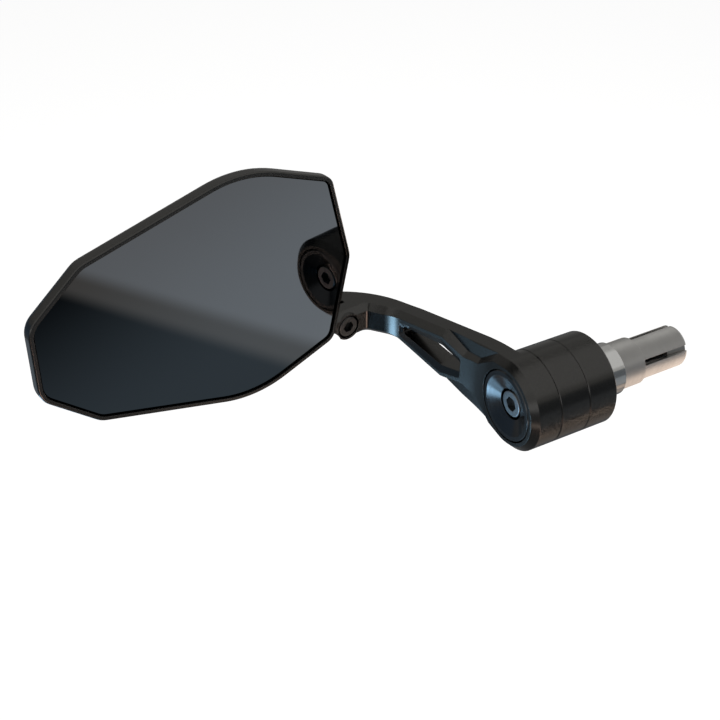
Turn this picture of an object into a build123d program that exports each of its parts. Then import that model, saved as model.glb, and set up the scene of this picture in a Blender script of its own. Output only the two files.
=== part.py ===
"""Bar end mirror for a motorcycle handlebar.

The bar axis is X, with +X pointing into the handlebar and the origin at the centre of the
bar's end face. +Y points ahead of the rider and +Z up. An expanding plug grips the bar's bore,
a stack of turned rings stands outside it, and a milled arm clamped on the end of the stack
reaches forward to a split ball clamp, which carries the mirror head on a ball stud.
"""
from build123d import *
from math import asin, atan2, cos, hypot, radians, sin, tan
import os

# Bar end stack, all turned about the bar axis
barrel_d = 35.0            # outside of the boss and of the two spacer rings
boss_len = 11.7
spacer_len = 12.2
collar_d = 20.0
collar_len = 10.3
edge_break = 0.35          # small chamfer on the ring edges that meet
rear_edge_break = 0.75

# Main screw, M6 socket cap, and the dished washer under its head
screw_d = 6.0
screw_len = 65.0
head_d = 10.0
head_h = 6.0
head_round = 0.4
hex_af = 5.0
hex_depth = 3.2
screw_hole_clear = 0.35    # radial
head_clear = 0.9           # radial, around the head
boss_rim_w = 4.1           # boss left around the washer
dish_lip_w = 1.9           # flat ring around the washer's cone
dish_depth = 2.4           # from the boss face down to the head's top
dish_seat_t = 1.3          # washer left under the head
dish_groove = 0.35         # gap around the washer and its edge chamfer

# Expanding plug
sleeve_d = 18.0
sleeve_len = 10.0
grip_d = 16.0
grip_len = 20.5
grip_wall = 2.2
slot_w = 2.3
slot_count = 4
slot_phase = 155.4         # degrees about the bar axis, from +Y towards +Z
slot_root_gap = 0.3
cone_len = 7.7
cone_angle = 8.0           # half angle
cone_clear = 0.15
thread_clear = 0.05
plug_chamfer = 0.9

# Arm, seen from the side: a tapered bar from the boss to the clamp
tip_half_h = 6.4
level_lead = 4.3           # from the end of the taper to the tip's nearest edge
taper_blend_r = 40.0
front_chamfer = 2.4
# Arm, seen from above: front and rear outlines
arm_t = 8.4
bend_start = 11.0
bend_r = 60.0
bend_angle = 10.5
front_run = 37.0
rear_run = 33.5
hook_r = 16.0
hook_angle = 29.5
hook_run = 6.25
inner_corner_r = 1.6       # where the hook's face turns into the clamp's front face
tip_yaw = 7.6              # the clamp's front face, from square to the bar
rear_bend_r = 41.0
clamp_end = 7.0            # from the ball's centre to the end of the jaws
clamp_front_corner_r = 4.0
clamp_rear_corner_r = 9.0

# Window through the arm, as distances along the front face from the end of its bend
window_root = 4.5
window_root_half_h = 2.0
window_root_r = 1.5
window_crest = 15.0
window_crest_half_h = 4.6
window_crest_r = 5.0
window_tip = 36.6
window_tip_half_h = 1.6
window_tip_r = 1.3
window_over = 1.6          # cut past the arm's rear face
# Shallow bevel along the window's sides: its depth, its end and its width at each corner
window_bevel = 0.9
window_bevel_tip = 38.3
window_root_flare = 2.35
window_crest_flare = 2.9
window_tip_flare = 1.4

# Pockets above and below the arm's neck
pocket_depth = 2.3
pocket_swing = 6.6         # degrees between the pocket floor and the boss face
pocket_wall = 38.0         # degrees of draft on the pocket walls
pocket_start_y = 11.4      # corners of the pocket floor, by place along the arm and height
pocket_start_h = 14.6
neck_y = 18.4
neck_h = 8.8
waist_y = 25.6
waist_h = 7.8
waist_rise = 0.31          # slope of the floor's edge from the waist to the arm's edge

# Clamp at the arm's tip, with an M5 socket cap screw
lug_r = 5.6
lug_depth = 4.0
lug_offset = 7.73          # from the hook's inner corner to the clamp screw
slit_offset = 7.9          # from the clamp's front face to the slit
slit_w = 1.8
slit_start = 4.43
clamp_screw_d = 5.0
clamp_screw_len = 12.0
clamp_head_d = 8.5
clamp_head_h = 5.0
clamp_hex_af = 4.0
clamp_hex_depth = 2.6
clamp_head_clear = 0.6
clamp_hole_clear = 0.2
clamp_thread_over = 2.0
ball_d = 11.0
ball_offset = 12.5         # from the clamp screw to the ball's centre
seat_t = 0.75
seat_half_h = 5.0
ball_clear = 0.15
mouth_half_angle = 58.0

# Ball stud, its lock nut and the post behind the mirror
stud_thread_d = 6.0
stud_thread_in = 2.6       # thread past the middle of the post
stud_hex_af = 8.0
stud_hex_len = 4.5
nut_af = 10.0
nut_h = 3.2
nut_gap = 1.2              # thread bare between the nut and the stud's hexagon
post_s = 22.0              # place on the mirror's back, along its long axis
post_t = -18.0             # and across it
post_base_d = 19.0
post_base_h = 2.4
post_flare_h = 6.5
post_waist_d = 12.0
knuckle_d = 15.0
knuckle_flat = 1.2         # depth of the flat that the lock nut bears on
post_screw_d = 4.0
post_screw_len = 8.5
post_screw_head_d = 7.4
post_screw_hex_af = 2.5
post_screw_pitch = 10.0
post_screw_sink = 0.15
post_screw_over = 0.6      # thread cut deeper than the screw reaches

# Mirror head: outline across the long axis, from the inboard corner outwards
ball_s = 0.5               # the ball's centre, from the inboard corner
ball_t = -43.1
ball_depth = 25.6          # behind the rim's front
head_yaw = 7.63
head_pitch = 2.0
head_roll = 1.43
head_len = 118.5
inboard_rise_s = 7.5
inboard_rise_t = 31.7
crown_s = 41.1
crown_t = 43.9
outer_fall_s = 99.8
outer_fall_t = 28.4
outer_half_h = 12.65
inboard_r = 8.5
rise_r = 5.2
crown_r = 42.6
fall_r = 9.2
outer_r = 8.4
head_depth = 7.2
back_round = 4.4
rim_w = 1.5
rim_round = 0.6
glass_sink = 0.9
glass_t = 1.9
glass_clear = 0.25
glass_bevel = 0.3
pad_t = 0.7
pad_inset = 2.5

# Places along the bar axis
collar_x = -collar_len
spacer_x = collar_x - spacer_len
boss_rear_x = spacer_x - spacer_len
boss_front_x = boss_rear_x - boss_len
head_top_x = boss_front_x + dish_depth
head_seat_x = head_top_x + head_h
dish_back_x = head_seat_x + dish_seat_t
grip_end_x = sleeve_len + grip_len

barrel_r = barrel_d / 2
screw_hole_r = screw_d / 2 + screw_hole_clear

same = 0.001                # places closer than this are one place

os.makedirs("parts", exist_ok=True)


def turned(*outline):
    """Solid turned about the bar axis from a closed outline of (x, radius) points."""
    return revolve(make_face(Polyline(*outline, close=True)), Axis.X)


def hex_prism(place, across_flats, height):
    """Hexagonal prism standing on the given plane."""
    return extrude(place * RegularPolygon(across_flats / 2, 6, major_radius=False), height)


def cap_screw(place, d, length, cap_d, cap_h, cap_round, socket_af, socket_depth):
    """Socket cap screw with its seat on the given plane and its head on the plane's +Z side."""
    head = place * Cylinder(cap_d / 2, cap_h, align=(Align.CENTER, Align.CENTER, Align.MIN))
    top = head.edges().filter_by(GeomType.CIRCLE).sort_by_distance(place.origin + place.z_dir * cap_h)
    head = fillet(top[0], cap_round)
    shank = place * Cylinder(d / 2, length, align=(Align.CENTER, Align.CENTER, Align.MAX))
    socket = hex_prism(place.offset(cap_h - socket_depth), socket_af, socket_depth)
    return head + shank - socket


def ring(x, length, radius, bore, front_break, back_break):
    """Plain ring about the bar axis with chamfered outer edges."""
    return turned(
        (x, bore),
        (x, radius - front_break),
        (x + front_break, radius),
        (x + length - back_break, radius),
        (x + length, radius - back_break),
        (x + length, bore),
    )


# Spacer rings and polished collar
spacer_outer = ring(boss_rear_x, spacer_len, barrel_r, screw_hole_r, edge_break, edge_break)
spacer_inner = ring(spacer_x, spacer_len, barrel_r, screw_hole_r, edge_break, rear_edge_break)
collar = ring(collar_x, collar_len, collar_d / 2, screw_hole_r, edge_break, edge_break)

# Dished washer, let into the boss face
dish_r = barrel_r - boss_rim_w
head_hole_r = head_d / 2 + head_clear
dish_washer = turned(
    (dish_back_x, screw_hole_r),
    (dish_back_x, dish_r),
    (boss_front_x + dish_groove, dish_r),
    (boss_front_x, dish_r - dish_groove),
    (boss_front_x, dish_r - dish_lip_w),
    (head_top_x, head_hole_r),
    (head_seat_x, head_hole_r),
    (head_seat_x, screw_hole_r),
)

# Main screw, head outwards
screw_place = Plane((head_seat_x, 0, 0), x_dir=(0, 1, 0), z_dir=(-1, 0, 0))
main_screw = cap_screw(screw_place, screw_d, screw_len, head_d, head_h, head_round, hex_af, hex_depth)

# Expander sleeve: a register that locates in the bar, then four gripping fingers
cone_slope = tan(radians(cone_angle))
grip_r = grip_d / 2
grip_bore_r = grip_r - grip_wall
cone_start_x = grip_end_x - cone_len
mouth_r = grip_bore_r + cone_len * cone_slope
expander_sleeve = turned(
    (0, screw_hole_r),
    (0, sleeve_d / 2),
    (sleeve_len - edge_break, sleeve_d / 2),
    (sleeve_len, sleeve_d / 2 - edge_break),
    (sleeve_len, grip_r),
    (grip_end_x - plug_chamfer, grip_r),
    (grip_end_x, grip_r - plug_chamfer / 2),
    (grip_end_x, mouth_r),
    (cone_start_x, grip_bore_r),
    (sleeve_len + slot_root_gap, grip_bore_r),
    (sleeve_len + slot_root_gap, screw_hole_r),
)
slot_len = grip_len - slot_root_gap
slot = Pos(sleeve_len + slot_root_gap + slot_len / 2, grip_r, 0) * Box(slot_len, grip_d, slot_w)
for k in range(slot_count):
    expander_sleeve -= Rot(slot_phase + k * 360 / slot_count, 0, 0) * slot

# Cone nut, drawn into the sleeve's mouth by the main screw
cone_r = grip_bore_r - cone_clear / cos(radians(cone_angle))
cone_nut = turned(
    (cone_start_x, screw_d / 2 + thread_clear),
    (cone_start_x, cone_r),
    (grip_end_x, cone_r + cone_len * cone_slope),
    (grip_end_x, screw_d / 2 + thread_clear),
)

# Arm outline from above: front face first, then the rear face back to the boss
tip_turn = 90 + tip_yaw - bend_angle
front_flat = Line((boss_front_x, -barrel_r), (boss_front_x, bend_start))
front_bend = JernArc(front_flat @ 1, (0, 1), bend_r, bend_angle)
front_line = Line(front_bend @ 1, front_bend @ 1 + (front_bend % 1) * front_run)
front_hook = JernArc(front_line @ 1, front_line % 1, hook_r, hook_angle)
hook_line = Line(front_hook @ 1, front_hook @ 1 + (front_hook % 1) * hook_run)
inner_corner = JernArc(hook_line @ 1, hook_line % 1, inner_corner_r, tip_turn - hook_angle)
tip_corner = inner_corner @ 1
tip_dir = inner_corner % 1
tip_in = tip_dir.cross(Vector(0, 0, 1))
ball_run = lug_offset + ball_offset
front_tip = Line(tip_corner, tip_corner + tip_dir * (ball_run + clamp_end))
ball_centre = tip_corner + tip_dir * ball_run + tip_in * slit_offset

rear_flat = Line((boss_front_x + arm_t, -barrel_r), (boss_front_x + arm_t, bend_start))
rear_bend = JernArc(rear_flat @ 1, (0, 1), bend_r + arm_t, bend_angle)
rear_line = Line(rear_bend @ 1, rear_bend @ 1 + (rear_bend % 1) * rear_run)
rear_hook = JernArc(rear_line @ 1, rear_line % 1, rear_bend_r, tip_turn)
front_curve = [front_flat, front_bend, front_line, front_hook, hook_line, inner_corner, front_tip]
rear_curve = [rear_hook, rear_line, rear_bend, rear_flat]
jaw_end = Line(front_tip @ 1, rear_hook @ 1)
plan = make_face(front_curve + [jaw_end] + rear_curve + [Line(rear_flat @ 0, front_flat @ 0)])
rounded_plan = fillet(plan.vertices().sort_by_distance(jaw_end @ 0)[0], clamp_front_corner_r)
rounded_plan = fillet(rounded_plan.vertices().sort_by_distance(jaw_end @ 1)[0], clamp_rear_corner_r)

# Arm outline from the side: tangent to the boss, level at the tip
level_y = (front_tip @ 1).Y - level_lead
taper_angle = asin(barrel_r / hypot(level_y, tip_half_h)) - atan2(tip_half_h, level_y)
touch_y = barrel_r * sin(taper_angle)
touch_z = barrel_r * cos(taper_angle)
plan_box = plan.bounding_box()
arm_end_y = plan_box.max.Y + barrel_r
side = make_face(Polyline(
    (touch_y, touch_z),
    (level_y, tip_half_h),
    (arm_end_y, tip_half_h),
    (arm_end_y, -tip_half_h),
    (level_y, -tip_half_h),
    (touch_y, -touch_z),
    close=True,
))
side = fillet([v for v in side.vertices() if abs(v.X - level_y) < same], taper_blend_r)
side_place = Plane((plan_box.min.X, 0, 0), x_dir=(0, 1, 0), z_dir=(1, 0, 0))
arm = extrude(plan, barrel_r, both=True) & extrude(side_place * side, plan_box.size.X)
arm += turned(
    (boss_front_x, 0),
    (boss_front_x, barrel_r),
    (boss_rear_x - edge_break, barrel_r),
    (boss_rear_x, barrel_r - edge_break),
    (boss_rear_x, 0),
)

# Chamfer all round the arm's front, then the rounded corners of the jaws
front_wire = Wire(front_curve)
front_edges = []
for edge in arm.edges():
    middle = edge @ 0.5
    upright = edge.geom_type == GeomType.LINE and abs((edge % 0.5).Z) > 0.99
    if not upright and front_wire.distance_to(Vertex(middle.X, middle.Y, 0)) < same:
        front_edges.append(edge)
arm = chamfer(front_edges, front_chamfer)
arm -= extrude(plan - rounded_plan, barrel_r, both=True)


def window_outline(root_flare, crest_flare, tip_flare, tip):
    """Outline of the window, wider on each side by the given amounts, as far as the given tip."""
    shape = [
        (window_root, window_root_half_h + root_flare, window_root_r),
        (window_crest, window_crest_half_h + crest_flare, window_crest_r),
        (tip, window_tip_half_h + tip_flare, window_tip_r + tip_flare / 2),
    ]
    over = [(s, h) for s, h, radius in shape]
    under = [(s, -h) for s, h in reversed(over)]
    face = make_face(Polyline(*over, *under, close=True))
    for s, h, radius in shape:
        face = fillet([v for v in face.vertices() if abs(v.X - s) < same], radius)
    return face


# Window straight through the arm, with the bevel lofted in front of it
front_normal = (front_line % 0).cross(Vector(0, 0, -1))
window_place = Plane(front_line @ 0, x_dir=front_line % 0, z_dir=front_normal)
window = window_outline(0, 0, 0, window_tip)
bevelled = window_outline(window_root_flare, window_crest_flare, window_tip_flare, window_bevel_tip)
arm -= extrude(window_place * window, -arm_t - window_over)
arm -= loft([window_place.offset(-window_bevel) * window, window_place * bevelled], ruled=True)
arm -= extrude(window_place * bevelled, window_bevel)

# Pockets above and below the neck, with sloping walls
floor_dir = Vector(0, 1, 0).rotate(Axis.Z, pocket_swing)
floor_place = Plane(
    (boss_front_x + pocket_depth, pocket_start_y, 0),
    x_dir=floor_dir,
    z_dir=floor_dir.cross(Vector(0, 0, -1)),
)
neck_run = neck_y - pocket_start_y
waist_run = waist_y - pocket_start_y
pocket = make_face(Polyline(
    (-neck_run, 2 * pocket_start_h - neck_h),
    (neck_run, neck_h),
    (waist_run, waist_h),
    (waist_run + barrel_d, waist_h + barrel_d * waist_rise),
    (waist_run + barrel_d, barrel_d),
    (-neck_run, barrel_d),
    close=True,
))
pocket = extrude(floor_place * pocket, 3 * pocket_depth, taper=-pocket_wall)
arm -= pocket
arm -= mirror(pocket, Plane.XY)

# Boss: recess for the dished washer and the screw hole
recess_r = dish_r + dish_groove
arm_front_x = plan_box.min.X
arm -= turned((arm_front_x, 0), (arm_front_x, recess_r), (dish_back_x, recess_r), (dish_back_x, 0))
arm -= turned((dish_back_x, 0), (dish_back_x, screw_hole_r), (boss_rear_x, screw_hole_r), (boss_rear_x, 0))

# Mirror head's own frame: X along its long axis, Y up, Z to the rear, zero on the rim's front
head_across = Vector(-1, 0, 0).rotate(Axis.Z, head_yaw)
head_front = head_across.cross(Vector(0, 0, -1)).rotate(Axis((0, 0, 0), head_across), head_pitch)
head_long = head_across.rotate(Axis((0, 0, 0), head_front), -head_roll)
head_up = head_long.cross(head_front)
head_corner = ball_centre - head_long * ball_s - head_up * ball_t + head_front * ball_depth
head_place = Plane(head_corner, x_dir=head_long, z_dir=head_front * -1)

# Clamp at the tip: lug, slit, screw holes, ball socket and its mouth
lug_place = Plane(tip_corner + tip_dir * lug_offset, x_dir=tip_dir, z_dir=tip_in * -1)
down = (Align.CENTER, Align.CENTER, Align.MAX)
arm += lug_place * Cylinder(lug_r, lug_depth, align=down)
slit_root = tip_corner + tip_in * slit_offset + tip_dir * slit_start
slit_place = Plane(slit_root, x_dir=tip_dir, z_dir=(0, 0, 1))
slit_len = ball_run + clamp_end - slit_start
onward = (Align.MIN, Align.CENTER, Align.CENTER)
arm -= slit_place * Box(slit_len, slit_w, barrel_d, align=onward)
clamp_depth = clamp_head_h + clamp_screw_len + clamp_thread_over
arm -= lug_place * Cylinder(clamp_head_d / 2 + clamp_head_clear, clamp_head_h, align=down)
arm -= lug_place * Cylinder(clamp_screw_d / 2 + clamp_hole_clear, slit_offset, align=down)
arm -= lug_place * Cylinder(clamp_screw_d / 2 + thread_clear, clamp_depth, align=down)
ball_r = ball_d / 2
seat_in_r = ball_r + ball_clear
seat_out_r = seat_in_r + seat_t
socket = Pos(*ball_centre) * Sphere(seat_out_r + ball_clear)
knuckle_centre = Vector(post_s, post_t, ball_depth)
stud_run = knuckle_centre - Vector(ball_s, ball_t, ball_depth)
stud_dir = head_long * stud_run.X + head_up * stud_run.Y
mouth_place = Plane(ball_centre, z_dir=stud_dir)
mouth_len = 2 * (slit_offset + clamp_end)
up = (Align.CENTER, Align.CENTER, Align.MIN)
mouth = mouth_place * Cone(0, mouth_len * tan(radians(mouth_half_angle)), mouth_len, align=up)
arm -= socket
arm -= mouth

# Clamp screw
clamp_screw = cap_screw(
    lug_place.offset(-clamp_head_h),
    clamp_screw_d,
    clamp_screw_len,
    clamp_head_d,
    clamp_head_h,
    head_round,
    clamp_hex_af,
    clamp_hex_depth,
)

# Ball seat: a thin split shell between the ball and the jaws
ball_seat = Sphere(seat_out_r) - Sphere(seat_in_r)
ball_seat &= Box(ball_d * 2, ball_d * 2, 2 * seat_half_h)
ball_seat = Pos(*ball_centre) * ball_seat
ball_seat -= mouth
ball_seat -= slit_place * Box(ball_run - slit_start, slit_w, barrel_d, align=onward)

# Ball stud, in the mirror head's frame, with a hexagon for the spanner
stud_len = stud_run.length
stud_place = Plane((ball_s, ball_t, ball_depth), z_dir=stud_run)
nut_at = stud_len - knuckle_d / 2 + knuckle_flat - nut_h
hex_at = nut_at - nut_gap - stud_hex_len
ball_stud = stud_place * Sphere(ball_r)
ball_stud += stud_place * Cylinder(stud_thread_d / 2, stud_len + stud_thread_in, align=up)
ball_stud += hex_prism(stud_place.offset(hex_at), stud_hex_af, stud_hex_len)

# Lock nut against the post
lock_nut = hex_prism(stud_place.offset(nut_at), nut_af, nut_h)
lock_nut -= stud_place * Cylinder(stud_thread_d / 2 + thread_clear, stud_len, align=up)

# Mount post, turned, with a flat and a tapped hole for the stud
post_place = Plane((post_s, post_t, head_depth), z_dir=(0, 0, 1))
knuckle_h = ball_depth - head_depth
mount_post = post_place * Cylinder(post_base_d / 2, post_base_h, align=up)
flare_place = post_place.offset(post_base_h)
mount_post += flare_place * Cone(post_base_d / 2, post_waist_d / 2, post_flare_h, align=up)
mount_post += post_place * Cylinder(post_waist_d / 2, knuckle_h, align=up)
mount_post += post_place.offset(knuckle_h) * Sphere(knuckle_d / 2)
mount_post -= stud_place.offset(nut_at + nut_h) * Box(knuckle_d, knuckle_d, knuckle_d, align=down)
stud_hole_len = stud_len + stud_thread_in + post_screw_over
mount_post -= stud_place * Cylinder(stud_thread_d / 2 + thread_clear, stud_hole_len, align=up)

# Mirror outline, symmetric about the long axis, with a radius at each corner
corners = [
    (0, 0, inboard_r),
    (inboard_rise_s, inboard_rise_t, rise_r),
    (crown_s, crown_t, crown_r),
    (outer_fall_s, outer_fall_t, fall_r),
    (head_len, outer_half_h, outer_r),
]
upper = [(s, t) for s, t, radius in corners]
lower = [(s, -t) for s, t, radius in reversed(corners[1:])]
outline = make_face(Polyline(*upper, *lower, close=True))
for s, t, radius in corners:
    sharp = [v for v in outline.vertices() if abs(v.X - s) < same and abs(abs(v.Y) - t) < same]
    outline = fillet(sharp, radius)

# Housing: tray with a round back edge and a thin rounded rim
glass_back = glass_sink + glass_t
floor_depth = glass_back + pad_t
housing = extrude(outline, head_depth)
housing = fillet(housing.faces().sort_by(Axis.Z)[-1].edges(), back_round)
housing = fillet(housing.faces().sort_by(Axis.Z)[0].edges(), rim_round)
housing -= extrude(offset(outline, -rim_w), floor_depth)

# Glass on an adhesive pad
glass_outline = offset(outline, -rim_w - glass_clear)
glass = Pos(0, 0, glass_sink) * extrude(glass_outline, glass_t)
glass = chamfer(glass.faces().sort_by(Axis.Z)[0].edges(), glass_bevel)
pad = Pos(0, 0, glass_back) * extrude(offset(glass_outline, -pad_inset), pad_t)

# Countersunk screws from the tray into the post
post_screws = []
head_run = (post_screw_head_d - post_screw_d) / 2
thread_hole_r = post_screw_d / 2 + thread_clear
sink_r = post_screw_head_d / 2 + thread_clear
screw_top = floor_depth + post_screw_sink
for side_sign in (-1, 1):
    place = Plane((post_s + side_sign * post_screw_pitch / 2, post_t, screw_top), z_dir=(0, 0, 1))
    screw = place * Cone(post_screw_head_d / 2, post_screw_d / 2, head_run, align=up)
    screw += place * Cylinder(post_screw_d / 2, post_screw_len, align=up)
    hole = place * Cylinder(thread_hole_r, post_screw_len + post_screw_over, align=up)
    hole += place * Cone(sink_r, thread_hole_r, head_run, align=up)
    hole += place * Cylinder(sink_r, post_screw_sink, align=down)
    housing -= hole
    mount_post -= hole
    post_screws.append(screw - hex_prism(place, post_screw_hex_af, head_run))

nodes = {
    "arm": arm,
    "spacer_outer": spacer_outer,
    "spacer_inner": spacer_inner,
    "collar": collar,
    "dish_washer": dish_washer,
    "main_screw": main_screw,
    "expander_sleeve": expander_sleeve,
    "cone_nut": cone_nut,
    "clamp_screw": clamp_screw,
    "ball_seat": ball_seat,
    "ball_stud": head_place * ball_stud,
    "lock_nut": head_place * lock_nut,
    "mount_post": head_place * mount_post,
    "post_screws": head_place * Compound(children=post_screws),
    "mirror_housing": head_place * housing,
    "glass_pad": head_place * pad,
    "mirror_glass": head_place * glass,
}
for name, solid in nodes.items():
    export_step(solid, f"parts/{name}.step")
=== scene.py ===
import math
import bmesh
import bpy
from mathutils import Matrix, Vector


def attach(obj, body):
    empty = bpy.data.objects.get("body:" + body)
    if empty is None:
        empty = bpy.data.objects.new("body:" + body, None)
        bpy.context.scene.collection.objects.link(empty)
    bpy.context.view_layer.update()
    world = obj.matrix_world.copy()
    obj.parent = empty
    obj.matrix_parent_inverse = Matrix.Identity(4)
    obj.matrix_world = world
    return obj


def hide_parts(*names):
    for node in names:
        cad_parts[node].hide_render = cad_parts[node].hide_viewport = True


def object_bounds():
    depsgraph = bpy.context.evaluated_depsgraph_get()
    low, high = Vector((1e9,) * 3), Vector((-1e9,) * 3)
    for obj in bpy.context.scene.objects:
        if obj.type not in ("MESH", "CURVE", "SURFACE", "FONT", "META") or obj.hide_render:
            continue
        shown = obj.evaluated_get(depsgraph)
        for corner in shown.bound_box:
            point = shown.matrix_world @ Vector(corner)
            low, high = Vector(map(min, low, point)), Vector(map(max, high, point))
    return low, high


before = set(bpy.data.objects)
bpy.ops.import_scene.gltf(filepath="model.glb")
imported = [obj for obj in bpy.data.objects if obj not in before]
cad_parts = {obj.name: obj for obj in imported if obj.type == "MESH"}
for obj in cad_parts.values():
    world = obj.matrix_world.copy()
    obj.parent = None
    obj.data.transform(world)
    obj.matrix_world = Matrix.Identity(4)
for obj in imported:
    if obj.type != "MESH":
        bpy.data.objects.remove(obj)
cad_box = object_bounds()
scene = bpy.context.scene


# Cone nut, drawn into the plug's mouth by the main screw. Zinc plated steel, turned, and seen only
# at the end of the plug and through its slots.
merge_gap = 2e-6
sliver = 1e-6
smooth_below = math.radians(14.0)
noise_span = (0.3, 0.7)


def plain_mesh(maker, name):
    """The evaluated mesh of an object, which is then removed."""
    graph = bpy.context.evaluated_depsgraph_get()
    mesh = bpy.data.meshes.new_from_object(maker.evaluated_get(graph))
    mesh.name = name
    bpy.data.objects.remove(maker)
    return mesh


def cut_mesh(mesh, cutter, name):
    """What is left of a mesh where a cutter has been through it; the cutter is removed."""
    blank = bpy.data.objects.new(name + "_blank", mesh)
    scene.collection.objects.link(blank)
    cut = blank.modifiers.new("cut", "BOOLEAN")
    cut.operation = "DIFFERENCE"
    cut.solver = "EXACT"
    cut.object = cutter
    rest = plain_mesh(blank, name)
    bpy.data.objects.remove(cutter)
    return rest


def fair_copy(node, name, body, finish, cutter=None):
    """A merged, smoothly shaded copy of a solid, which stands for that solid."""
    mesh = bpy.data.meshes.new(name)
    bm = bmesh.new()
    bm.from_mesh(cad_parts[node].data)
    bmesh.ops.remove_doubles(bm, verts=bm.verts, dist=merge_gap)
    bmesh.ops.dissolve_degenerate(bm, edges=bm.edges, dist=sliver)
    if cutter is not None:
        bm.to_mesh(mesh)
        mesh = cut_mesh(mesh, cutter, name)
        bm.clear()
        bm.from_mesh(mesh)
    for face in bm.faces:
        face.smooth = True
    for edge in bm.edges:
        if edge.is_manifold:
            edge.smooth = edge.calc_face_angle(0.0) < smooth_below
    bm.to_mesh(mesh)
    bm.free()
    if "custom_normal" in mesh.attributes:
        mesh.attributes.remove(mesh.attributes["custom_normal"])
    piece = bpy.data.objects.new(name, mesh)
    scene.collection.objects.link(piece)
    weights = piece.modifiers.new("even_normals", "WEIGHTED_NORMAL")
    weights.keep_sharp = True
    weights.mode = "FACE_AREA_WITH_ANGLE"
    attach(piece, body)
    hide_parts(node)
    piece.data.materials.append(finish)
    return piece


def new_finish(name):
    """A node material, its tree, its principled shader and object coordinates."""
    finish = bpy.data.materials.new(name)
    finish.use_nodes = True
    tree = finish.node_tree
    shader = tree.nodes["Principled BSDF"]
    place = tree.nodes.new("ShaderNodeTexCoord")
    return finish, tree, shader, place.outputs["Object"]


def speckle(tree, place, scale, detail, stretch=(1.0, 1.0, 1.0)):
    """Noise in object space, scale in cells per metre."""
    mapping = tree.nodes.new("ShaderNodeMapping")
    mapping.inputs["Scale"].default_value = stretch
    tree.links.new(place, mapping.inputs["Vector"])
    noise = tree.nodes.new("ShaderNodeTexNoise")
    noise.inputs["Scale"].default_value = scale
    noise.inputs["Detail"].default_value = detail
    tree.links.new(mapping.outputs["Vector"], noise.inputs["Vector"])
    return noise.outputs["Fac"]


def between(tree, value, low, high, out_low, out_high):
    """Maps a range of a value on to another range."""
    node = tree.nodes.new("ShaderNodeMapRange")
    node.inputs["From Min"].default_value = low
    node.inputs["From Max"].default_value = high
    node.inputs["To Min"].default_value = out_low
    node.inputs["To Max"].default_value = out_high
    tree.links.new(value, node.inputs["Value"])
    return node.outputs["Result"]


def two_tone(tree, value, dark, light):
    """Blends two colours by a value; the first may be a node's output."""
    node = tree.nodes.new("ShaderNodeMix")
    node.data_type = "RGBA"
    node.inputs["B"].default_value = (*light, 1.0)
    tree.links.new(value, node.inputs["Factor"])
    if isinstance(dark, tuple):
        node.inputs["A"].default_value = (*dark, 1.0)
    else:
        tree.links.new(dark, node.inputs["A"])
    return node.outputs["Result"]


def broken_edges(tree, radius):
    """The surface's direction, with its sharp edges rounded."""
    rounded = tree.nodes.new("ShaderNodeBevel")
    rounded.samples = 6
    rounded.inputs["Radius"].default_value = radius
    return rounded.outputs["Normal"]


def relief(tree, height, depth, strength, normal):
    """Fine relief, depth in metres, over a surface's direction."""
    bump = tree.nodes.new("ShaderNodeBump")
    bump.inputs["Distance"].default_value = depth
    bump.inputs["Strength"].default_value = strength
    tree.links.new(height, bump.inputs["Height"])
    tree.links.new(normal, bump.inputs["Normal"])
    return bump.outputs["Normal"]


def turned_metal(name, dark, light, rough, line_depth, edge_r):
    """Metal turned about the bar axis, with fine tool lines around it."""
    lines_per_m = 5200.0
    around_bar = (1.0, 0.004, 0.004)
    clouds_per_m = 90.0
    cloud_span = (0.35, 0.65)
    finish, tree, shader, place = new_finish(name)
    lines = speckle(tree, place, lines_per_m, detail=2.0, stretch=around_bar)
    cloud = speckle(tree, place, clouds_per_m, detail=3.0)
    tone = two_tone(tree, between(tree, cloud, *cloud_span, 0.0, 1.0), dark, light)
    shader.inputs["Metallic"].default_value = 1.0
    tree.links.new(tone, shader.inputs["Base Color"])
    tree.links.new(between(tree, lines, *noise_span, *rough), shader.inputs["Roughness"])
    skin = relief(tree, lines, line_depth, strength=0.5, normal=broken_edges(tree, edge_r))
    tree.links.new(skin, shader.inputs["Normal"])
    return finish


zinc_plate = turned_metal("zinc_plate", (0.42, 0.42, 0.41), (0.52, 0.51, 0.49), (0.28, 0.4), 4e-6, 1.5e-4)
fair_copy("cone_nut", "plug_cone", "bar_end", zinc_plate)

# Expander sleeve. Raw aluminium, turned to two diameters and slit into four fingers; it slides into
# the handlebar and the cone spreads it.
raw_turned = turned_metal(
    "raw_turned", (0.41, 0.405, 0.395), (0.47, 0.465, 0.455), (0.42, 0.54), 6e-6, 2e-4)
sleeve = fair_copy("expander_sleeve", "plug_sleeve", "bar_end", raw_turned)

# Collar between the handlebar and the barrel. A short ring of aluminium, turned and polished
# bright, that the main screw clamps against the sleeve.
polish = turned_metal("polished_collar", (0.60, 0.60, 0.59), (0.65, 0.65, 0.64), (0.12, 0.18), 1.5e-6, 2e-4)
collar = fair_copy("collar", "bright_collar", "bar_end", polish)


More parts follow.
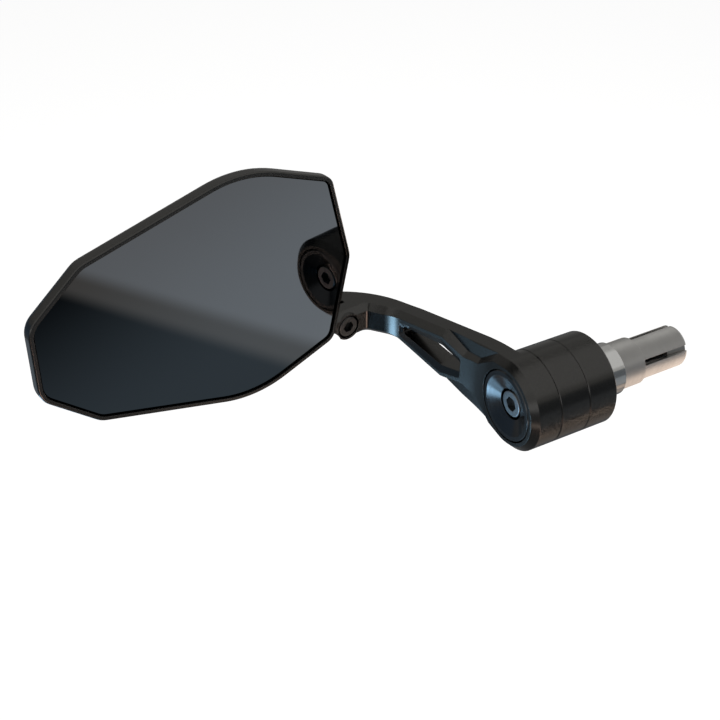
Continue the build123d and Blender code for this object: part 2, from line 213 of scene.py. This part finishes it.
# Barrel spacer rings. Aluminium, turned, bead blasted and anodised black, with broken edges that
# leave a thin groove where they meet.
def black_anodised(name, base, polish_and_sheen_tone, rough, edge_r):
    """Bead blasted, black anodised aluminium, painted a little lighter along its rounded edges: partly a
    polished edge, partly a painted highlight for the sheen they catch.
    """
    grains_per_m = 2400.0
    clouds_per_m = 55.0
    grain_depth = 1.2e-5
    grain_strength = 0.08
    grain_lift = 1.2
    flat_facing = 0.995
    polish_and_sheen_facing = 0.85
    most_polish_and_sheen = 0.55
    light_grain = tuple(grain_lift * c for c in base)
    finish, tree, shader, place = new_finish(name)
    grain = speckle(tree, place, grains_per_m, detail=2.0)
    cloud = speckle(tree, place, clouds_per_m, detail=4.0)
    rounded = broken_edges(tree, edge_r)
    surface = tree.nodes.new("ShaderNodeNewGeometry")
    facing = tree.nodes.new("ShaderNodeVectorMath")
    facing.operation = "DOT_PRODUCT"
    tree.links.new(rounded, facing.inputs[0])
    tree.links.new(surface.outputs["Normal"], facing.inputs[1])
    # Painted highlight: where the rounding turns the surface, the colour is made lighter, for a polished
    # edge and the sheen it catches.
    polish_and_sheen_mask = between(tree, facing.outputs["Value"], flat_facing, polish_and_sheen_facing, 0.0, most_polish_and_sheen)
    body_tone = two_tone(tree, between(tree, grain, *noise_span, 0.0, 1.0), base, light_grain)
    shader.inputs["Metallic"].default_value = 1.0
    tree.links.new(two_tone(tree, polish_and_sheen_mask, body_tone, polish_and_sheen_tone), shader.inputs["Base Color"])
    tree.links.new(between(tree, cloud, *noise_span, *rough), shader.inputs["Roughness"])
    skin = relief(tree, grain, grain_depth, grain_strength, rounded)
    tree.links.new(skin, shader.inputs["Normal"])
    return finish


# The second colour is painted along the edges: a polished edge and a painted highlight.
satin_black = black_anodised(
    "satin_black", (0.061, 0.060, 0.058), (0.11, 0.107, 0.103), (0.20, 0.25), 2.0e-4)
rings = []
for node, name in (("spacer_inner", "barrel_ring_inner"), ("spacer_outer", "barrel_ring_outer")):
    rings.append(fair_copy(node, name, "bar_end", satin_black))


# Arm. One piece of aluminium, milled with a boss that ends the barrel, a pocketed neck, a window
# and a hooked tip that is split to clamp the ball; blasted and anodised black. A round cutter
# relieves the lower edge of its front jaw beside the screw's lug.
jaw_relief_at = (-0.07945, 0.06884, -0.00436)
jaw_relief_way = (0.379, 0.724, -0.577)
jaw_relief_r = 0.0044
jaw_relief_length = 0.034


def set_along(place, way):
    """The turn and move that stand a piece at a place, its Z along a direction."""
    return Matrix.Translation(place) @ Vector(way).to_track_quat("Z", "Y").to_matrix().to_4x4()


def round_cutter(name, place, way, radius, length):
    """A rod to cut with, centred on a place."""
    mesh = bpy.data.meshes.new(name)
    bm = bmesh.new()
    bmesh.ops.create_cone(
        bm, cap_ends=True, segments=96, radius1=radius, radius2=radius, depth=length,
        matrix=set_along(place, way))
    bm.to_mesh(mesh)
    bm.free()
    piece = bpy.data.objects.new(name, mesh)
    scene.collection.objects.link(piece)
    return piece


jaw_relief = round_cutter("jaw_relief", jaw_relief_at, jaw_relief_way, jaw_relief_r, jaw_relief_length)
arm = fair_copy("arm", "milled_arm", "swing_arm", satin_black, jaw_relief)

# Dished washer, let into the boss's end face. Aluminium, turned to a cone and anodised glossy
# black, and held by the main screw's head.
gloss_black = turned_metal(
    "gloss_black", (0.070, 0.071, 0.073), (0.082, 0.083, 0.085), (0.16, 0.24), 1.5e-6, 1.5e-4)
washer = fair_copy("dish_washer", "dished_washer", "bar_end", gloss_black)


# Screws: the main and clamp screws, with socket heads, and the two countersunk ones in the post.
# Hardened steel with a dark satin plating. The main screw's thread runs through the plug to the
# cone nut.
def dark_plate(name, dark, light):
    """Dark satin plating with a fine grain."""
    grains_per_m = 2600.0
    grain_depth = 4e-6
    rough = (0.26, 0.4)
    edge_r = 1.5e-4
    finish, tree, shader, place = new_finish(name)
    grain = speckle(tree, place, grains_per_m, detail=3.0)
    shader.inputs["Metallic"].default_value = 1.0
    tree.links.new(two_tone(tree, grain, dark, light), shader.inputs["Base Color"])
    tree.links.new(between(tree, grain, *noise_span, *rough), shader.inputs["Roughness"])
    skin = relief(tree, grain, grain_depth, strength=0.4, normal=broken_edges(tree, edge_r))
    tree.links.new(skin, shader.inputs["Normal"])
    return finish


screw_plate = dark_plate("screw_plate", (0.22, 0.23, 0.24), (0.30, 0.31, 0.32))
screw_black = dark_plate("screw_black", (0.09, 0.088, 0.086), (0.12, 0.118, 0.115))
for node, name, body, plating in (
    ("main_screw", "main_cap_screw", "bar_end", screw_plate),
    ("clamp_screw", "clamp_cap_screw", "swing_arm", screw_black),
    ("post_screws", "post_countersunk_screws", "mirror_head", screw_black),
):
    fair_copy(node, name, body, plating)


def thread_tree():
    """Nodes for a thread: a three sided ridge drawn along a helix."""
    tree = bpy.data.node_groups.new("thread_ridge", "GeometryNodeTree")
    for size in ("Pitch", "Turns", "Core Radius", "Ridge"):
        tree.interface.new_socket(size, in_out="INPUT", socket_type="NodeSocketFloat")
    tree.interface.new_socket("Finish", in_out="INPUT", socket_type="NodeSocketMaterial")
    tree.interface.new_socket("Geometry", in_out="OUTPUT", socket_type="NodeSocketGeometry")
    start = tree.nodes.new("NodeGroupInput")
    helix = tree.nodes.new("GeometryNodeCurveSpiral")
    helix.inputs["Resolution"].default_value = 40
    rise = tree.nodes.new("ShaderNodeMath")
    rise.operation = "MULTIPLY"
    tree.links.new(start.outputs["Pitch"], rise.inputs[0])
    tree.links.new(start.outputs["Turns"], rise.inputs[1])
    tree.links.new(rise.outputs["Value"], helix.inputs["Height"])
    tree.links.new(start.outputs["Turns"], helix.inputs["Rotations"])
    tree.links.new(start.outputs["Core Radius"], helix.inputs["Start Radius"])
    tree.links.new(start.outputs["Core Radius"], helix.inputs["End Radius"])
    section = tree.nodes.new("GeometryNodeCurvePrimitiveCircle")
    section.inputs["Resolution"].default_value = 3
    tree.links.new(start.outputs["Ridge"], section.inputs["Radius"])
    ridge = tree.nodes.new("GeometryNodeCurveToMesh")
    ridge.inputs["Fill Caps"].default_value = True
    tree.links.new(helix.outputs["Curve"], ridge.inputs["Curve"])
    tree.links.new(section.outputs["Curve"], ridge.inputs["Profile Curve"])
    real = tree.nodes.new("GeometryNodeRealizeInstances")
    tree.links.new(ridge.outputs["Mesh"], real.inputs["Geometry"])
    paint = tree.nodes.new("GeometryNodeSetMaterial")
    tree.links.new(real.outputs["Geometry"], paint.inputs["Geometry"])
    tree.links.new(start.outputs["Finish"], paint.inputs["Material"])
    end = tree.nodes.new("NodeGroupOutput")
    tree.links.new(paint.outputs["Geometry"], end.inputs["Geometry"])
    return tree


thread = thread_tree()


def thread_on(name, body, place, way, sizes, finish):
    """Thread turns that start at a place and climb along a direction."""
    maker = bpy.data.objects.new(name + "_maker", bpy.data.meshes.new(name + "_maker"))
    scene.collection.objects.link(maker)
    winding = maker.modifiers.new("thread", "NODES")
    winding.node_group = thread
    given = dict(sizes, Finish=finish)
    for item in thread.interface.items_tree:
        if item.in_out == "INPUT":
            winding[item.identifier] = given[item.name]
    mesh = plain_mesh(maker, name)
    mesh.transform(set_along(place, way))
    piece = bpy.data.objects.new(name, mesh)
    scene.collection.objects.link(piece)
    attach(piece, body)
    return piece


m6_thread = {"Pitch": 0.001, "Turns": 18.0, "Core Radius": 0.00294, "Ridge": 0.0003}
main_thread_at = (0.0045, 0.0, 0.0)
bar_way = (1.0, 0.0, 0.0)
thread_on("main_screw_thread", "bar_end", main_thread_at, bar_way, m6_thread, screw_plate)


# Ball seat. A thin split shell of black nylon, moulded, that sits between the ball and the jaws
# and is gripped when the clamp screw draws them together.
def moulded(name, base, rough):
    """Moulded plastic or foam with a fine skin grain."""
    grains_per_m = 1800.0
    grain_depth = 2e-5
    grain_lift = 1.5
    edge_r = 1e-4
    light_grain = tuple(grain_lift * c for c in base)
    finish, tree, shader, place = new_finish(name)
    grain = speckle(tree, place, grains_per_m, detail=3.0)
    tree.links.new(two_tone(tree, grain, base, light_grain), shader.inputs["Base Color"])
    tree.links.new(between(tree, grain, *noise_span, *rough), shader.inputs["Roughness"])
    skin = relief(tree, grain, grain_depth, strength=0.5, normal=broken_edges(tree, edge_r))
    tree.links.new(skin, shader.inputs["Normal"])
    return finish


nylon = moulded("black_nylon", (0.016, 0.016, 0.016), (0.5, 0.62))
fair_copy("ball_seat", "nylon_seat", "seat", nylon)

# Ball stud and its lock nut. Zinc plated steel, the ball ground smooth and the shank threaded; the
# stud screws into the mount post and the nut locks it.
ball_at = Vector((-0.08417, 0.07618, 0.0))
stud_way = Vector((-0.6294, -0.0570, 0.7750))
bare_thread_from = 0.02252
bare_thread = dict(m6_thread, Turns=0.86)
for node, name in (("ball_stud", "steel_ball_stud"), ("lock_nut", "stud_lock_nut")):
    fair_copy(node, name, "mirror_head", zinc_plate)
bare_thread_at = ball_at + stud_way * bare_thread_from
thread_on("stud_thread", "mirror_head", bare_thread_at, stud_way, bare_thread, zinc_plate)

# Mount post, between the stud and the mirror's back. Aluminium, turned, blasted and anodised
# black, and held to the housing by the two countersunk screws.
fair_copy("mount_post", "mirror_post", "mirror_head", satin_black)

# Mirror housing. A thin tray of aluminium, milled with a round back edge and a narrow rounded rim,
# then blasted and anodised black. The post is screwed to its back.
housing = fair_copy("mirror_housing", "mirror_tray", "mirror_head", satin_black)

# Adhesive pad. A sheet of black foam, cut to the tray's floor and sticky on both sides, that holds
# the glass.
foam = moulded("black_foam", (0.012, 0.012, 0.012), (0.8, 0.92))
fair_copy("glass_pad", "foam_pad", "mirror_head", foam)


# Mirror glass. A flat tinted pane with a mirror coating and a fine bevel ground around its front
# edge, stuck to the pad inside the rim.
def tinted_mirror(name):
    """A dark mirror coating with a faint haze."""
    hazes_per_m = 18.0
    deep_tint = (0.112, 0.117, 0.122)
    pale_tint = (0.118, 0.123, 0.128)
    rough = (0.012, 0.03)
    finish, tree, shader, place = new_finish(name)
    haze = speckle(tree, place, hazes_per_m, detail=5.0)
    shader.inputs["Metallic"].default_value = 1.0
    tree.links.new(two_tone(tree, haze, deep_tint, pale_tint), shader.inputs["Base Color"])
    tree.links.new(between(tree, haze, *noise_span, *rough), shader.inputs["Roughness"])
    return finish


mirror_coat = tinted_mirror("tinted_mirror")
glass = fair_copy("mirror_glass", "tinted_glass", "mirror_head", mirror_coat)


# Floor and soft studio: a pale floor well below the part, a white world, a broad top light, and
# boards that only reflections see: grey overhead, dark in front, blue and warm ones below.
floor_half = 8
floor_drop = 0.30
floor_grey = 0.6
floor_glow = 0.72
world_light = 0.35
pieces = [piece for piece in scene.collection.objects if piece.type == "MESH"]
all_but_glass = [piece for piece in pieces if piece is not glass]
all_but_sleeve = [piece for piece in pieces if piece is not sleeve]


def sheet(name, corners):
    """A flat staged sheet through the given corners."""
    mesh = bpy.data.meshes.new(name)
    mesh.from_pydata(corners, [], [tuple(range(len(corners)))])
    piece = bpy.data.objects.new(name, mesh)
    scene.collection.objects.link(piece)
    return piece


def level_corners(x_span, y_span, z):
    """The corners of a level rectangle."""
    (x0, x1), (y0, y1) = x_span, y_span
    return [(x0, y0, z), (x1, y0, z), (x1, y1, z), (x0, y1, z)]


def math_node(tree, operation, first, second=None):
    """A node's output for an operation on one or two values, the second a number or an output."""
    node = tree.nodes.new("ShaderNodeMath")
    node.operation = operation
    tree.links.new(first, node.inputs[0])
    if isinstance(second, (int, float)):
        node.inputs[1].default_value = second
    elif second is not None:
        tree.links.new(second, node.inputs[1])
    return node.outputs["Value"]


def seen_ray(tree):
    """1 for camera, glossy and transmission rays."""
    path = tree.nodes.new("ShaderNodeLightPath").outputs
    direct = math_node(tree, "MAXIMUM", path["Is Camera Ray"], path["Is Glossy Ray"])
    return math_node(tree, "MAXIMUM", direct, path["Is Transmission Ray"])


def pale_paint(name):
    """Matt pale paint that looks nearly white and still takes a shadow."""
    paint = bpy.data.materials.new(name)
    paint.use_nodes = True
    tree = paint.node_tree
    shader = tree.nodes["Principled BSDF"]
    shader.inputs["Base Color"].default_value = (floor_grey, floor_grey, floor_grey, 1)
    shader.inputs["Roughness"].default_value = 0.9
    shader.inputs["Specular IOR Level"].default_value = 0.0
    shader.inputs["Emission Color"].default_value = (1, 1, 1, 1)
    glow = math_node(tree, "MULTIPLY", seen_ray(tree), floor_glow)
    tree.links.new(glow, shader.inputs["Emission Strength"])
    return paint


def white_world(name):
    """A world that is white to look at and lights the part more weakly."""
    world = bpy.data.worlds.new(name)
    world.use_nodes = True
    tree = world.node_tree
    sky = tree.nodes["Background"]
    sky.inputs["Color"].default_value = (1, 1, 1, 1)
    tree.links.new(between(tree, seen_ray(tree), 0.0, 1.0, world_light, 1.0), sky.inputs["Strength"])
    return world


floor_z = cad_box[0][2] - floor_drop
floor_span = (-floor_half, floor_half)
floor = sheet("floor", level_corners(floor_span, floor_span, floor_z))
floor.data.materials.append(pale_paint("floor_paint"))
scene.world = white_world("studio")


def fading(tree, corners, fade):
    """1 inside a board, falling to 0 at its edges over a distance."""
    place = tree.nodes.new("ShaderNodeTexCoord")
    split = tree.nodes.new("ShaderNodeSeparateXYZ")
    tree.links.new(place.outputs["Object"], split.inputs["Vector"])
    ramps = []
    for k in range(2):
        low = min(c[k] for c in corners)
        high = max(c[k] for c in corners)
        half = (high - low) / 2
        away = math_node(tree, "ABSOLUTE", math_node(tree, "SUBTRACT", split.outputs[k], (low + high) / 2))
        ramp = tree.nodes.new("ShaderNodeMapRange")
        ramp.interpolation_type = "SMOOTHSTEP"
        ramp.inputs["From Min"].default_value = half
        ramp.inputs["From Max"].default_value = half - fade
        tree.links.new(away, ramp.inputs["Value"])
        ramps.append(ramp.outputs["Result"])
    return math_node(tree, "MULTIPLY", *ramps)


def board(name, corners, colour, strength=1.0, fade=0.0, lights=None, film=False):
    """A glowing board that only shows in reflections, and fades out towards its edges.

    It shows in the pieces that it lights, or in all. A film is clear and adds its glow.
    """
    piece = sheet(name, corners)
    paint = bpy.data.materials.new(name + "_paint")
    paint.use_nodes = True
    tree = paint.node_tree
    tree.nodes.remove(tree.nodes["Principled BSDF"])
    glow = tree.nodes.new("ShaderNodeEmission")
    glow.inputs["Color"].default_value = (*colour, 1)
    glow.inputs["Strength"].default_value = strength
    shown = glow.outputs["Emission"]
    if fade > 0.0:
        cover = fading(tree, corners, fade)
        clear = tree.nodes.new("ShaderNodeBsdfTransparent")
        blend = tree.nodes.new("ShaderNodeAddShader" if film else "ShaderNodeMixShader")
        tree.links.new(clear.outputs["BSDF"], blend.inputs[-2])
        tree.links.new(shown, blend.inputs[-1])
        if film:
            tree.links.new(math_node(tree, "MULTIPLY", cover, strength), glow.inputs["Strength"])
        else:
            tree.links.new(cover, blend.inputs["Fac"])
        shown = blend.outputs["Shader"]
    tree.links.new(shown, tree.nodes["Material Output"].inputs["Surface"])
    piece.data.materials.append(paint)
    if lights is not None:
        lit = bpy.data.collections.new(name + "_lights")
        for one in lights:
            lit.objects.link(one)
        piece.light_linking.receiver_collection = lit
    piece.visible_camera = False
    piece.visible_diffuse = False
    piece.visible_shadow = False
    return piece


def level_board(name, x_span, y_span, z, colour, strength=1.0, fade=0.0, lights=None):
    """A board lying level."""
    return board(name, level_corners(x_span, y_span, z), colour, strength, fade, lights)


def level_film(name, x_span, y_span, z, colour, strength, fade, lights):
    """A clear film lying level, which adds its glow for some pieces."""
    return board(name, level_corners(x_span, y_span, z), colour, strength, fade, lights, True)


def upright_board(name, start, end, z_span, colour):
    """A board standing between two places on the floor plan."""
    low, high = z_span
    return board(name, [(*start, low), (*end, low), (*end, high), (*start, high)], colour)


# Boards overhead and around. Soft grey ones stand for a studio's ceiling and walls, and show in the
# tops of the barrel and the arm; two films brighten the raw plug alone.
over_x = (-1.6, 2.2)
front_left = (-0.5, -0.62)
front_right = (0.9, -0.62)
level_board("board_over", (-2.4, 2.8), (-1.6, 3.0), 0.6, (0.42, 0.415, 0.40))
level_board("board_over_front", over_x, (-1.0, 0.42), 0.59, (0.66, 0.655, 0.64), 1.0, 0.3, all_but_sleeve)
level_film("film_over_plug", over_x, (-1.4, 0.80), 0.58, (0.40, 0.395, 0.385), 1.0, 0.3, [sleeve])
level_film("film_back_plug", over_x, (0.30, 2.6), 0.57, (0.22, 0.22, 0.215), 1.0, 0.3, [sleeve])
upright_board("board_back", (-2.4, 1.3), (2.8, 1.3), (-0.261, 0.6), (0.26, 0.258, 0.25))
upright_board("board_front_high", front_left, front_right, (-0.07, 0.26), (0.12, 0.13, 0.14))
upright_board("board_front_low", front_left, front_right, (-0.26, -0.07), (0.27, 0.29, 0.31))
upright_board("board_left", (-0.95, 0.0), (-0.30, 0.80), (-0.20, 0.12), (0.12, 0.17, 0.23))

# Boards below, grey and dull. They show in every face that looks down or forward, and get warmer
# towards the barrel. The glass is left out of the ones in front of it.
below_span = (-6.0, 6.0)
below_grey = (0.16, 0.165, 0.17)
level_board("board_below", below_span, below_span, -0.262, below_grey)
level_board("board_below_near", (-0.10, 0.10), (-0.50, -0.20), -0.258, below_grey, lights=all_but_glass)
level_board("board_dark", (-0.70, -0.25), (-0.30, 0.02), -0.255, (0.03, 0.033, 0.04), 1.0, 0.05)
level_board("board_boss", (-0.30, -0.05), (0.20, 0.50), -0.255, (0.06, 0.08, 0.10), 1.0, 0.05)
for name, x_span, y_span, z, colour in (
    ("board_front_grey", (0.01, 0.60), (-0.66, -0.26), -0.252, (0.31, 0.32, 0.33)),
    ("board_warm_far", (0.0, 0.22), (-0.34, -0.16), -0.251, (0.52, 0.44, 0.40)),
    ("board_warm_near", (0.0, 0.20), (-0.13, 0.03), -0.2505, (0.42, 0.36, 0.32)),
    ("board_warm", (0.01, 0.15), (-0.24, -0.09), -0.25, (1.0, 0.78, 0.63)),
):
    level_board(name, x_span, y_span, z, colour, 1.0, 0.04, all_but_glass)

# Boards and films below that stand for warm and blue lamps. They give the barrel its bronze
# underside, the hook its blue and pink lines, and the dished washer and the rim their gleam.
warm_x = (0.115, 0.26)
warm_y = (-0.26, -0.10)
lamp_blue = (0.42, 0.72, 1.0)
level_film("film_warm_rings", warm_x, warm_y, -0.2475, (0.42, 0.32, 0.24), 1.0, 0.03, rings)
level_film("film_warm_collar", warm_x, warm_y, -0.2470, (0.20, 0.15, 0.11), 1.0, 0.03, [collar])
level_film("film_dish", (0.02, 0.20), (-0.38, -0.18), -0.2465, (1.0, 0.74, 0.58), 2.5, 0.05, [washer])
level_board("board_clamp", (0.15, 0.40), warm_y, -0.249, (0.34, 0.29, 0.26), 1.0, 0.03, all_but_glass)
level_board("board_pink", (-0.28, -0.08), (-0.42, -0.24), -0.249, (1.0, 0.68, 0.55), 6.0, 0.03)
level_board("board_blue_soft", (-0.48, -0.265), (0.15, 0.34), -0.25, (0.29, 0.42, 0.53), 1.0, 0.05)
level_board("board_blue", (-0.48, -0.29), (0.025, 0.178), -0.249, lamp_blue, 14.0, 0.03)
level_board("board_blue_dish", (-0.30, -0.17), (0.04, 0.19), -0.2485, lamp_blue, 3.0, 0.03)
level_film("film_boss", (-0.48, -0.29), (-0.44, -0.25), -0.2485, (1.0, 0.80, 0.68), 1.5, 0.05, [arm, washer])
level_film("film_rim", (-0.52, -0.30), (0.28, 0.52), -0.2480, (0.55, 0.78, 1.0), 0.22, 0.05, [housing])
level_film("film_rim_right", (0.45, 1.0), (-0.40, 0.25), -0.2478, (1.0, 0.78, 0.66), 2.4, 0.06, [housing])
level_film("film_plug", (0.035, 0.30), (-0.16, 0.25), -0.10, (1.0, 0.80, 0.66), 1.75, 0.04, [sleeve])

# Films for the glass alone, which stand for the room that it mirrors: a dark blue part at the
# bottom, a grey band across it and a pale part above.
room_turn = math.radians(-14.0)
room_right = 0.70
room_back = 0.20
for name, left, front, z, colour, fade in (
    ("film_glass_low", -0.30, -0.50, -0.2460, (0.21, 0.265, 0.31), 0.25),
    ("film_glass_band", 0.190, -0.80, -0.2455, (0.34, 0.31, 0.28), 0.022),
    ("film_glass_sky", 0.220, -0.80, -0.2450, (0.40, 0.45, 0.51), 0.025),
):
    film = level_film(name, (left, room_right), (front, room_back), z, colour, 1.0, fade, [glass])
    film.rotation_euler[2] = room_turn


def soft_light(name, centre, aim, side, watts, colour):
    """A square area light pointing at a place."""
    data = bpy.data.lights.new(name, "AREA")
    data.shape = "RECTANGLE"
    data.size = side
    data.size_y = side
    data.energy = watts
    data.color = colour
    lamp = bpy.data.objects.new(name, data)
    lamp.location = centre
    lamp.rotation_euler = (Vector(aim) - Vector(centre)).to_track_quat("-Z", "Y").to_euler()
    scene.collection.objects.link(lamp)
    lamp.visible_glossy = False
    return lamp


soft_light(
    "top_light", centre=(0.1, 0.25, 0.9), aim=(-0.05, 0.04, 0.0), side=0.9, watts=4.0,
    colour=(1.0, 0.98, 0.95))

# Camera, where the photograph was taken from: in front of the part and above it, off its left,
# looking down along the arm. The focal length goes with a frame 36 mm wide.
camera_at = (-0.25219, -0.26022, 0.25800)
camera_heading = math.radians(-29.46)
camera_tip = math.radians(54.0)
camera_roll = math.radians(0.23)
lens = bpy.data.cameras.new("camera")
lens.sensor_width = 36.0
lens.sensor_fit = "HORIZONTAL"
lens.lens = 59.17
lens.clip_start = 0.01
lens.clip_end = 50.0
camera = bpy.data.objects.new("camera", lens)
heading = Matrix.Rotation(camera_heading, 4, "Z")
tip = Matrix.Rotation(camera_tip, 4, "X")
roll = Matrix.Rotation(camera_roll, 4, "Z")
camera.matrix_world = Matrix.Translation(camera_at) @ heading @ tip @ roll
scene.collection.objects.link(camera)
scene.camera = camera
scene.view_settings.view_transform = "Standard"
